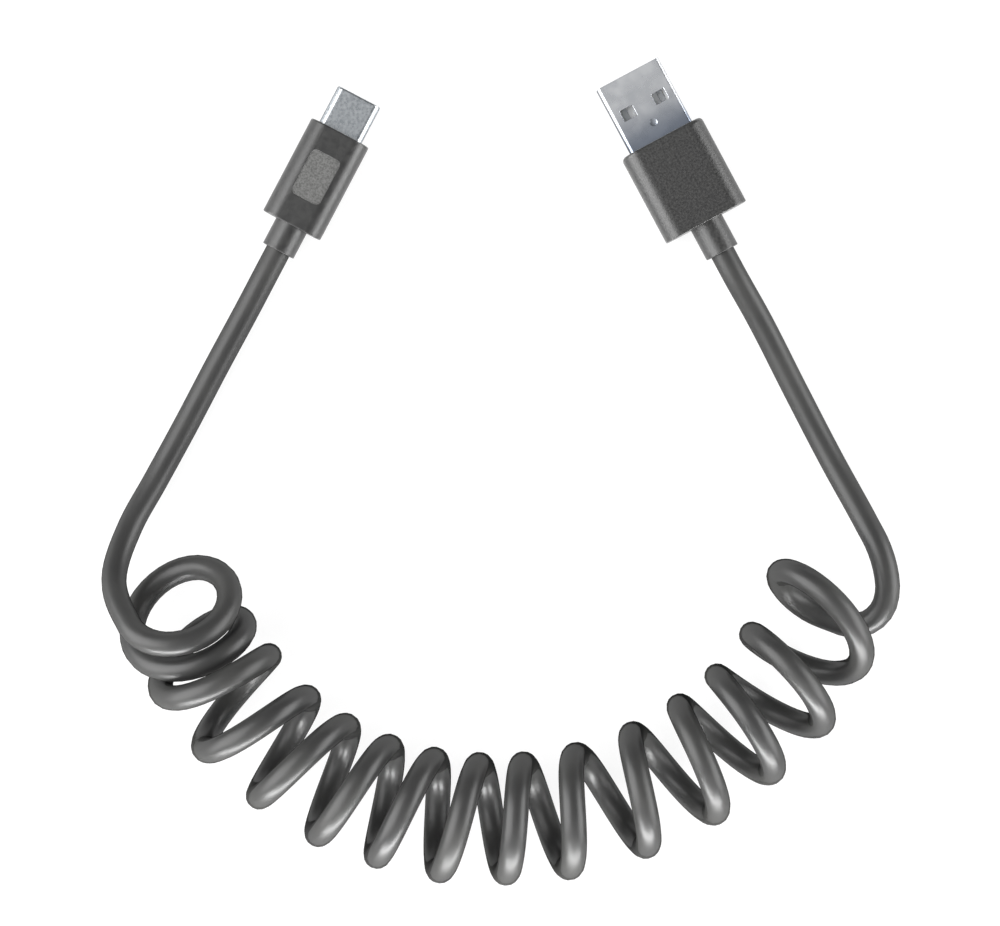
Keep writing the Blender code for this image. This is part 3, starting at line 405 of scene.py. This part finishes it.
def ring(along, width, height, radius, middle_x=0.0, middle_y=0.0):
    """Points round a rectangle with round corners."""
    points = []
    for corner, (side_x, side_y) in enumerate(((1, 1), (-1, 1), (-1, -1), (1, -1))):
        for step in range(CORNER_STEPS + 1):
            angle = math.radians(90) * (corner + step / CORNER_STEPS)
            x = middle_x + side_x * (0.5 * width - radius) + radius * math.cos(angle)
            y = middle_y + side_y * (0.5 * height - radius) + radius * math.sin(angle)
            points.append(Vector((x, y, along)))
    return points


def rolled(side, face):
    """Rows round an edge, from where a side ends to where a face begins."""
    rows = []
    for step in range(ROLL_STEPS + 1):
        angle = math.radians(90) * step / ROLL_STEPS
        along = side[0] + (face[0] - side[0]) * math.sin(angle)
        sizes = [far + (near - far) * math.cos(angle) for near, far in zip(side[1:], face[1:])]
        rows.append((along, *sizes))
    return rows


def grown(row, amount, along=0.0):
    """A row moved along and grown all round."""
    return (row[0] + along, row[1] + 2 * amount, row[2] + 2 * amount, row[3] + amount, *row[4:])


def loft(name, rows, closed=True, turn=None):
    """A surface through rings.  It runs back to the first ring, or else has a flat cap at each end."""
    work = bmesh.new()
    rings = [[work.verts.new(point * MM) for point in ring(*row)] for row in rows]
    for near, far in zip(rings, rings[1:] + rings[:1] if closed else rings[1:]):
        for number in range(len(near)):
            after = (number + 1) % len(near)
            work.faces.new((near[number], near[after], far[after], far[number]))
    if not closed:
        work.faces.new(rings[0])
        work.faces.new(rings[-1])
    if turn is not None:
        work.transform(turn)
    bmesh.ops.remove_doubles(work, verts=work.verts, dist=1e-7)
    bmesh.ops.recalc_face_normals(work, faces=work.faces)
    mesh = bpy.data.meshes.new(name)
    work.to_mesh(mesh)
    work.free()
    piece = bpy.data.objects.new(name, mesh)
    scene.collection.objects.link(piece)
    return piece


def carve(piece, cutters):
    """Cut shapes out of a piece at once, and throw the shapes away."""
    for cutter in cutters:
        bite = piece.modifiers.new("bite", "BOOLEAN")
        bite.object = cutter
        bite.solver = "EXACT"
    bpy.context.view_layer.update()
    carved = bpy.data.meshes.new_from_object(piece.evaluated_get(bpy.context.evaluated_depsgraph_get()))
    piece.modifiers.clear()
    piece.data = carved
    for cutter in cutters:
        bpy.data.objects.remove(cutter)


def settle(piece, plug, slot, materials, *nodes):
    """Shade a finished piece, set it in its plug and hide the CAD nodes it stands for."""
    piece.data.shade_smooth()
    piece.data.set_sharp_from_angle(angle=math.radians(SHARP_ANGLE))
    for material in materials:
        piece.data.materials.append(material)
    normals = piece.modifiers.new("even normals", "WEIGHTED_NORMAL")
    normals.keep_sharp = True
    piece.matrix_world = plug
    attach(piece, "root")
    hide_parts(*nodes)


def grip_rows(neck, grip, face, rear_roll, front_roll, window, cavities):
    """Rows of a grip and its neck: up the outside from the neck's end, and back through the hollows.
    A roll is the rounding's size along the plug, across it and up it."""
    length, diameter = neck
    neck_side = (NECK_ROLL, diameter, diameter, 0.5 * diameter)
    bore = (0.0, CORD_BORE, CORD_BORE, 0.5 * CORD_BORE)

    def inner(roll, along):
        return (along, grip[0] - 2 * roll[1], grip[1] - 2 * roll[2], grip[2] - roll[1])

    rows = [bore] + rolled(neck_side, grown(neck_side, -NECK_ROLL, -NECK_ROLL))[::-1]
    rows.append((length, diameter, diameter, 0.5 * diameter))
    rows += rolled((length + rear_roll[0], *grip), inner(rear_roll, length))[::-1]
    rows += rolled((face - front_roll[0], *grip), inner(front_roll, face))
    mouth = (face - WINDOW_ROLL, *window)
    rows += rolled(mouth, grown(mouth, WINDOW_ROLL, WINDOW_ROLL))[::-1]
    rows.append((cavities[-1][4], *window))
    for width, height, radius, near, far in reversed(cavities):
        rows += [(far, width, height, radius), (near, width, height, radius)]
    rows.append((cavities[0][3], *bore[1:]))
    return rows


c_plug = plug_frame(C_EXIT, C_HEADING)
c_grip = loft("oval_grip", grip_rows(C_NECK, C_GRIP, C_GRIP_FACE, C_REAR_ROLL, C_FRONT_ROLL,
                                     C_WINDOW, (C_CAVITY, C_SHIELD_CAVITY)))
c_top = 0.5 * C_GRIP[1]
pad_floor = c_top - C_PAD_DEPTH
pad_rim = (c_top - C_PAD_ROLL, *C_PAD, C_PAD_MIDDLE, 0.0)
pad_rows = [(pad_floor, *pad_rim[1:])] + rolled(pad_rim, grown(pad_rim, C_PAD_ROLL, C_PAD_ROLL))
pad_rows.append(grown(pad_rim, C_PAD_ROLL, CUTTER_RISE))
carve(c_grip, [loft("pad", pad_rows, closed=False, turn=UPRIGHT)])
for face in c_grip.data.polygons:
    spot = face.center / MM
    level = abs(spot.y - pad_floor) < FLAT_SLACK and face.normal.y > FLAT_NORMAL
    within = abs(spot.z - C_PAD_MIDDLE) < 0.5 * C_PAD[0] and abs(spot.x) < 0.5 * C_PAD[1]
    face.material_index = 1 if level and within else 0

# Moulded thermoplastic elastomer from a finely eroded tool: satin and even, with a fine grain that just
# breaks up the light.
fine_elastomer = mottled("moulded elastomer fine grain", ("#121212", "#1a1a19"), (0.34, 0.42),
                         patch=0.9, grain=0.22, depth=0.008, shine=(0.8, 0.60, 1.0),
                         Sheen_Weight=0.22, Sheen_Roughness=0.5)
# The same elastomer where the tool is eroded coarsely: a sparkling grain, paler than what is round it.
rough_elastomer = mottled("moulded elastomer rough pad", ("#474746", "#626261"), (0.42, 0.60),
                          patch=0.28, grain=0.26, depth=0.020)
settle(c_grip, c_plug, "grip", (fine_elastomer, rough_elastomer), "c_plug_overmould")

# ------------------------------------------------------------------------------------------ oval shell
# A seamless oval tube, deep drawn from thin steel sheet, tumbled and nickel plated.  Its mouth is rolled
# in and rounded so that it finds its way into a socket.
C_SHELL = (8.25, 2.4, 1.2)
C_SHELL_WALL = 0.28
C_SHELL_REAR = 20.2
C_TIP = 30.3
TIP_ROLL = (0.35, 0.24)      # along the shell and across it
LIP_WIDTH = 0.04             # the flat rim of the mouth
MOUTH_ROLL = (0.1, 0.12)     # the rounding inside the rim: along the shell and across it
REAR_BEVEL = 0.06
NICKEL_RIM = "#33363a"       # nickel's mirror images darken to this where it is seen nearly edge on

c_outside = (C_TIP - TIP_ROLL[0], *C_SHELL)
c_lip = grown(c_outside, -TIP_ROLL[1], TIP_ROLL[0])
c_mouth = grown(c_lip, -MOUTH_ROLL[1], -MOUTH_ROLL[0])
c_inside = grown(c_outside, -C_SHELL_WALL, -MOUTH_ROLL[0])
c_rear = (C_SHELL_REAR, *C_SHELL)
c_shell_rows = [grown(c_rear, -REAR_BEVEL), grown(c_rear, 0.0, REAR_BEVEL)] + rolled(c_outside, c_lip)
c_shell_rows += rolled(c_mouth, grown(c_lip, -LIP_WIDTH))[::-1] + [c_inside, grown(c_rear, -C_SHELL_WALL)]
c_shell = loft("oval_shell", c_shell_rows)

# Nickel over drawn and tumbled steel: cool grey, softly mottled by the tumbling media, with blurred
# mirror images.
drawn_nickel = mottled("nickel plated drawn steel", ("#b5bbc0", "#cdd1d5"), (0.26, 0.32),
                       patch=0.55, grain=0.5, depth=0.0005, metallic=1.0, Specular_Tint=linear(NICKEL_RIM))
settle(c_shell, c_plug, "shell", (drawn_nickel,), "c_plug_shell")

# -------------------------------------------------------------------------------- inside the oval plug
# The contact block, contacts, latches and ground springs in the mouth, and behind them the board, its
# shield, the cast inner mould, the crimped ferrule and the four wire ends.


def finish_nodes(material, *starts):
    """Give a material to the CAD nodes whose names start so."""
    for name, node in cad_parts.items():
        if name.startswith(starts):
            node.material_slots[0].material = material


# Glass-filled liquid crystal polymer: dense black with a dull, slightly uneven skin.
finish_nodes(mottled("black glass filled polymer", ("#161617", "#202021"), (0.42, 0.55),
                     patch=0.8, grain=0.12, depth=0.004), "c_plug_insulator")
# Gold flash on bronze strip: warm and smooth, with a very faint grain.
finish_nodes(mottled("gold flashed bronze", ("#d8ab57", "#e6bd6c"), (0.18, 0.28),
                     patch=0.7, grain=0.2, depth=0.001, metallic=1.0), "c_plug_contact_")
# Stainless spring strip: bright, hard and even.
finish_nodes(mottled("stainless spring strip", ("#b9bbbd", "#c8cacc"), (0.20, 0.28),
                     patch=1.0, grain=0.15, depth=0.001, metallic=1.0),
             "c_plug_latch_", "c_plug_ground_spring_")
# Epoxy and glass cloth under green solder resist: glossy, and slightly uneven from the cloth below.
finish_nodes(mottled("glass epoxy board", ("#14502a", "#1c6034"), (0.22, 0.34),
                     patch=0.5, grain=0.3, depth=0.004, Coat_Weight=0.3), "c_plug_board")
# Glazed resistor body: black, slightly uneven.
finish_nodes(mottled("glazed chip resistor", ("#101011", "#1b1b1c"), (0.25, 0.40),
                     patch=0.3, grain=0.1, depth=0.002), "c_plug_resistor")
# Tin-plated steel can: pale, cloudy and a little dull.
finish_nodes(mottled("tin plated steel can", ("#a9abac", "#bfc0c1"), (0.30, 0.45),
                     patch=2.2, grain=0.4, depth=0.003, metallic=1.0),
             "c_plug_rear_shield", "a_plug_rear_shield")
# Cast polyethylene: milky, soft and waxy.
finish_nodes(mottled("milky cast polyethylene", ("#bfbfb6", "#d2d2ca"), (0.45, 0.58),
                     patch=2.5, grain=0.5, depth=0.010, Subsurface_Weight=0.1),
             "c_plug_inner_mould", "a_plug_inner_mould")
# Tinned brass ring: pale straw, dulled by the crimping tool.
finish_nodes(mottled("tinned brass", ("#b3a988", "#c8bf9f"), (0.32, 0.45),
                     patch=0.8, grain=0.3, depth=0.004, metallic=1.0), "c_plug_ferrule", "a_plug_ferrule")
# Extruded vinyl insulation in the four standard colours: glossy and smooth.
for word, colours in (("black", ("#151515", "#1e1e1e")), ("green", ("#1c6b33", "#25793d")),
                      ("white", ("#d6d6d2", "#e2e2de")), ("red", ("#a31d1d", "#b32727"))):
    finish_nodes(mottled(word + " vinyl wire", colours, (0.28, 0.38), patch=1.5, grain=0.25, depth=0.003),
                 "c_plug_wire_" + word, "a_plug_wire_" + word)

# ------------------------------------------------------------------------------------- rectangular grip
# The rectangular plug's grip and neck are one moulding, built like the oval plug's.  Its grain is coarser,
# and the face round its neck is polished.
A_NECK = (5.9, 6.1)
A_GRIP = (15.6, 8.0, 3.0)
A_GRIP_FACE = 22.5
A_REAR_ROLL = (0.2, 0.2, 0.2)
A_FRONT_ROLL = (0.7, 0.7, 0.3)
A_CAVITY = (12.7, 5.4, 1.2, 7.4, 13.5)
A_SHIELD_CAVITY = (12.7, 5.2, 0.6, 13.5, 21.0)
A_WINDOW = (12.1, 4.6, 0.65)

a_plug = plug_frame(A_EXIT, A_HEADING)
a_grip = loft("rectangular_grip", grip_rows(A_NECK, A_GRIP, A_GRIP_FACE, A_REAR_ROLL, A_FRONT_ROLL,
                                            A_WINDOW, (A_CAVITY, A_SHIELD_CAVITY)))
# The same elastomer from a more deeply eroded tool: the grain is coarse enough to see.
coarse_elastomer = mottled("moulded elastomer coarse grain", ("#0a0a0a", "#262625"), (0.34, 0.46),
                           patch=0.36, grain=0.36, depth=0.030, shine=(0.8, 0.60, 1.0),
                           Sheen_Weight=0.22, Sheen_Roughness=0.5)
# Its rear face, where the tool is polished: smooth, so that it mirrors the bright surface below.
polished_elastomer = mottled("moulded elastomer polished face", ("#363636", "#3c3c3b"), (0.22, 0.28),
                             patch=2.0, grain=0.5, depth=0.002)
for face in a_grip.data.polygons:
    if face.normal.z < -FLAT_NORMAL and abs(face.center.z / MM - A_NECK[0]) < FLAT_SLACK:
        face.material_index = 1
settle(a_grip, a_plug, "grip", (coarse_elastomer, polished_elastomer), "a_plug_overmould")

# ------------------------------------------------------------------------------------ rectangular shell
# A tube folded from nickel-plated steel sheet, with two latch holes above and two below, whose edges the
# punch has rounded, and a small dimple pressed into its top.
A_SHELL = (12.0, 4.5, 0.6)
A_SHELL_WALL = 0.3
A_SHELL_REAR = 18.0
A_TIP = 35.1
LATCH_HOLE = (2.0, 2.5, 0.15)    # along, across and corner radius
LATCH_MIDDLE = 28.9
LATCH_ASIDE = 3.1
LATCH_ROLL = 0.06
DIMPLE_MIDDLE = 25.5
DIMPLE_RADIUS = 2.25         # of the ball that pressed it
DIMPLE_DEPTH = 0.12
DIMPLE_STEP = 0.1            # from one ring of the dimple to the next wider one
DIMPLE_RINGS = 14
OUTER_ROLL = 0.1             # the rounding of the mouth's edge, outside and inside
INNER_ROLL = 0.08

a_outside = (A_TIP - OUTER_ROLL, *A_SHELL)
a_inside = grown((A_TIP - INNER_ROLL, *A_SHELL), -A_SHELL_WALL)
a_rear = (A_SHELL_REAR, *A_SHELL)
a_shell_rows = [grown(a_rear, -REAR_BEVEL), grown(a_rear, 0.0, REAR_BEVEL)]
a_shell_rows += rolled(a_outside, grown(a_outside, -OUTER_ROLL, OUTER_ROLL))
a_shell_rows += rolled(a_inside, grown(a_inside, INNER_ROLL, INNER_ROLL))[::-1]
a_shell = loft("rectangular_shell", a_shell_rows + [grown(a_rear, -A_SHELL_WALL)])
a_top = 0.5 * A_SHELL[1]
cutters = []
for side in (-1, 1):
    rim = (a_top - LATCH_ROLL, *LATCH_HOLE, LATCH_MIDDLE, side * LATCH_ASIDE)
    upper = rolled(rim, grown(rim, LATCH_ROLL, LATCH_ROLL)) + [grown(rim, LATCH_ROLL, CUTTER_RISE)]
    lower = [(-row[0], *row[1:]) for row in reversed(upper)]
    cutters.append(loft("latch hole", lower + upper, closed=False, turn=UPRIGHT))
dimple_rows = []
for step in range(1, DIMPLE_RINGS + 1):
    width = DIMPLE_STEP * step
    height = a_top - DIMPLE_DEPTH + width * width / (8 * DIMPLE_RADIUS)
    dimple_rows.append((height, width, width, 0.5 * width, DIMPLE_MIDDLE, 0.0))
dimple_rows.append(grown(dimple_rows[-1], 0.0, CUTTER_RISE))
cutters.append(loft("dimple", dimple_rows, closed=False, turn=UPRIGHT))
carve(a_shell, cutters)

# Nickel over rolled steel: smooth and cloudy, bright at the mouth. Its colour is painted darker and bluer
# towards the grip: a painted reflection of the dark grip that stands beside it.
MIX_FIRST = 6                # the places of a mix node's colour sockets, whose names aren't unique
MIX_SECOND = 7
MIX_RESULT = 2
GRIP_SHADE_TINT = "#a3aab6"
GRIP_SHADE_END = 30.4              # where along the plug the painted shade has faded away
rolled_nickel = mottled("nickel plated rolled steel", ("#e6e9ee", "#f0f2f5"), (0.24, 0.32),
                        patch=3.0, grain=0.8, depth=0.0003, metallic=1.0, Specular_Tint=linear(NICKEL_RIM))
nickel_shader = rolled_nickel.node_tree.nodes["Principled BSDF"]
plating = nickel_shader.inputs["Base Color"].links[0].from_node
shell_spot = add_node(rolled_nickel, "ShaderNodeTexCoord")
shell_parts = add_node(rolled_nickel, "ShaderNodeSeparateXYZ", links={"Vector": (shell_spot, "Object")})
# painted shade: the plating's colour darkens and turns bluer from the grip's face forwards, then fades
grip_shade = add_node(rolled_nickel, "ShaderNodeMapRange", {"interpolation_type": "SMOOTHSTEP"},
                {"From Min": A_GRIP_FACE * MM, "From Max": GRIP_SHADE_END * MM,
                 "To Min": 1.0, "To Max": 0.0},
                {"Value": (shell_parts, "Z")})
grip_shaded = add_node(rolled_nickel, "ShaderNodeMix", {"data_type": "RGBA", "blend_type": "MULTIPLY"},
                  {MIX_SECOND: linear(GRIP_SHADE_TINT)}, {0: (grip_shade, "Result"), MIX_FIRST: (plating, "Color")})
rolled_nickel.node_tree.links.new(grip_shaded.outputs[MIX_RESULT], nickel_shader.inputs["Base Color"])
settle(a_shell, a_plug, "shell", (rolled_nickel,), "a_plug_shell")

# ------------------------------------------------------------------------- inside the rectangular plug
# A plastic tongue fills the lower half of the shell and carries four flat contacts, with bent and rounded
# noses.  Behind it are the same kinds of pieces as in the oval plug, which already have their materials.

# Glass-filled polyester: white and matt.
finish_nodes(mottled("white glass filled polyester", ("#eceef0", "#f4f5f6"), (0.42, 0.52),
                     patch=1.8, grain=0.2, depth=0.004), "a_plug_contact_carrier")

A_CONTACT = (1.0, 0.25, 0.04)
A_CONTACT_MIDDLE = -0.125    # the contacts' height in the plug
A_CONTACT_REAR = 15.2
A_CONTACTS = ((-3.5, 33.8), (-1.0, 32.8), (1.0, 32.8), (3.5, 33.8))      # place across, and nose
A_CONTACT_NOSE = (0.25, 0.8, 0.08, 0.02)        # its length, and its end's width, height and corner radius
NOSE_DROP = 0.08             # how far the nose's middle bends down
GOLD = "#dcb060"
GOLD_REAR = 30.4             # the gold ends in front of the latch holes
GOLD_BLUR = 0.1              # half the width of its soft edge

# Tin-plated bronze, with gold only where a socket's contacts touch: dull grey behind, warm yellow in
# front.
spot_gold = mottled("spot gold on tin plated bronze", ("#c4c8cc", "#d0d3d6"), (0.40, 0.50),
                    patch=0.7, grain=0.2, depth=0.001, metallic=1.0)
gold_shader = spot_gold.node_tree.nodes["Principled BSDF"]
contact_spot = add_node(spot_gold, "ShaderNodeTexCoord")
contact_parts = add_node(spot_gold, "ShaderNodeSeparateXYZ", links={"Vector": (contact_spot, "Object")})
gold_part = add_node(spot_gold, "ShaderNodeMapRange",
                     values={"From Min": (GOLD_REAR - GOLD_BLUR) * MM,
                             "From Max": (GOLD_REAR + GOLD_BLUR) * MM},
                     links={"Value": (contact_parts, "Z")})
gold_mix = add_node(spot_gold, "ShaderNodeMix", {"data_type": "RGBA"}, links={0: (gold_part, "Result")})
plate = gold_shader.inputs["Base Color"].links[0].from_socket
spot_gold.node_tree.links.new(plate, gold_mix.inputs[MIX_FIRST])
gold_mix.inputs[MIX_SECOND].default_value = linear(GOLD)
spot_gold.node_tree.links.new(gold_mix.outputs[MIX_RESULT], gold_shader.inputs["Base Color"])
for number, (across, nose) in enumerate(A_CONTACTS, 1):
    middle = (across, A_CONTACT_MIDDLE)
    nose_middle = (across, A_CONTACT_MIDDLE - NOSE_DROP)
    tip = rolled((nose - A_CONTACT_NOSE[0], *A_CONTACT, *middle), (nose, *A_CONTACT_NOSE[1:], *nose_middle))
    strip = loft("flat_contact_%d" % number, [(A_CONTACT_REAR, *A_CONTACT, *middle)] + tip, closed=False)
    settle(strip, a_plug, "contact", (spot_gold,), "a_plug_contact_%d" % number)
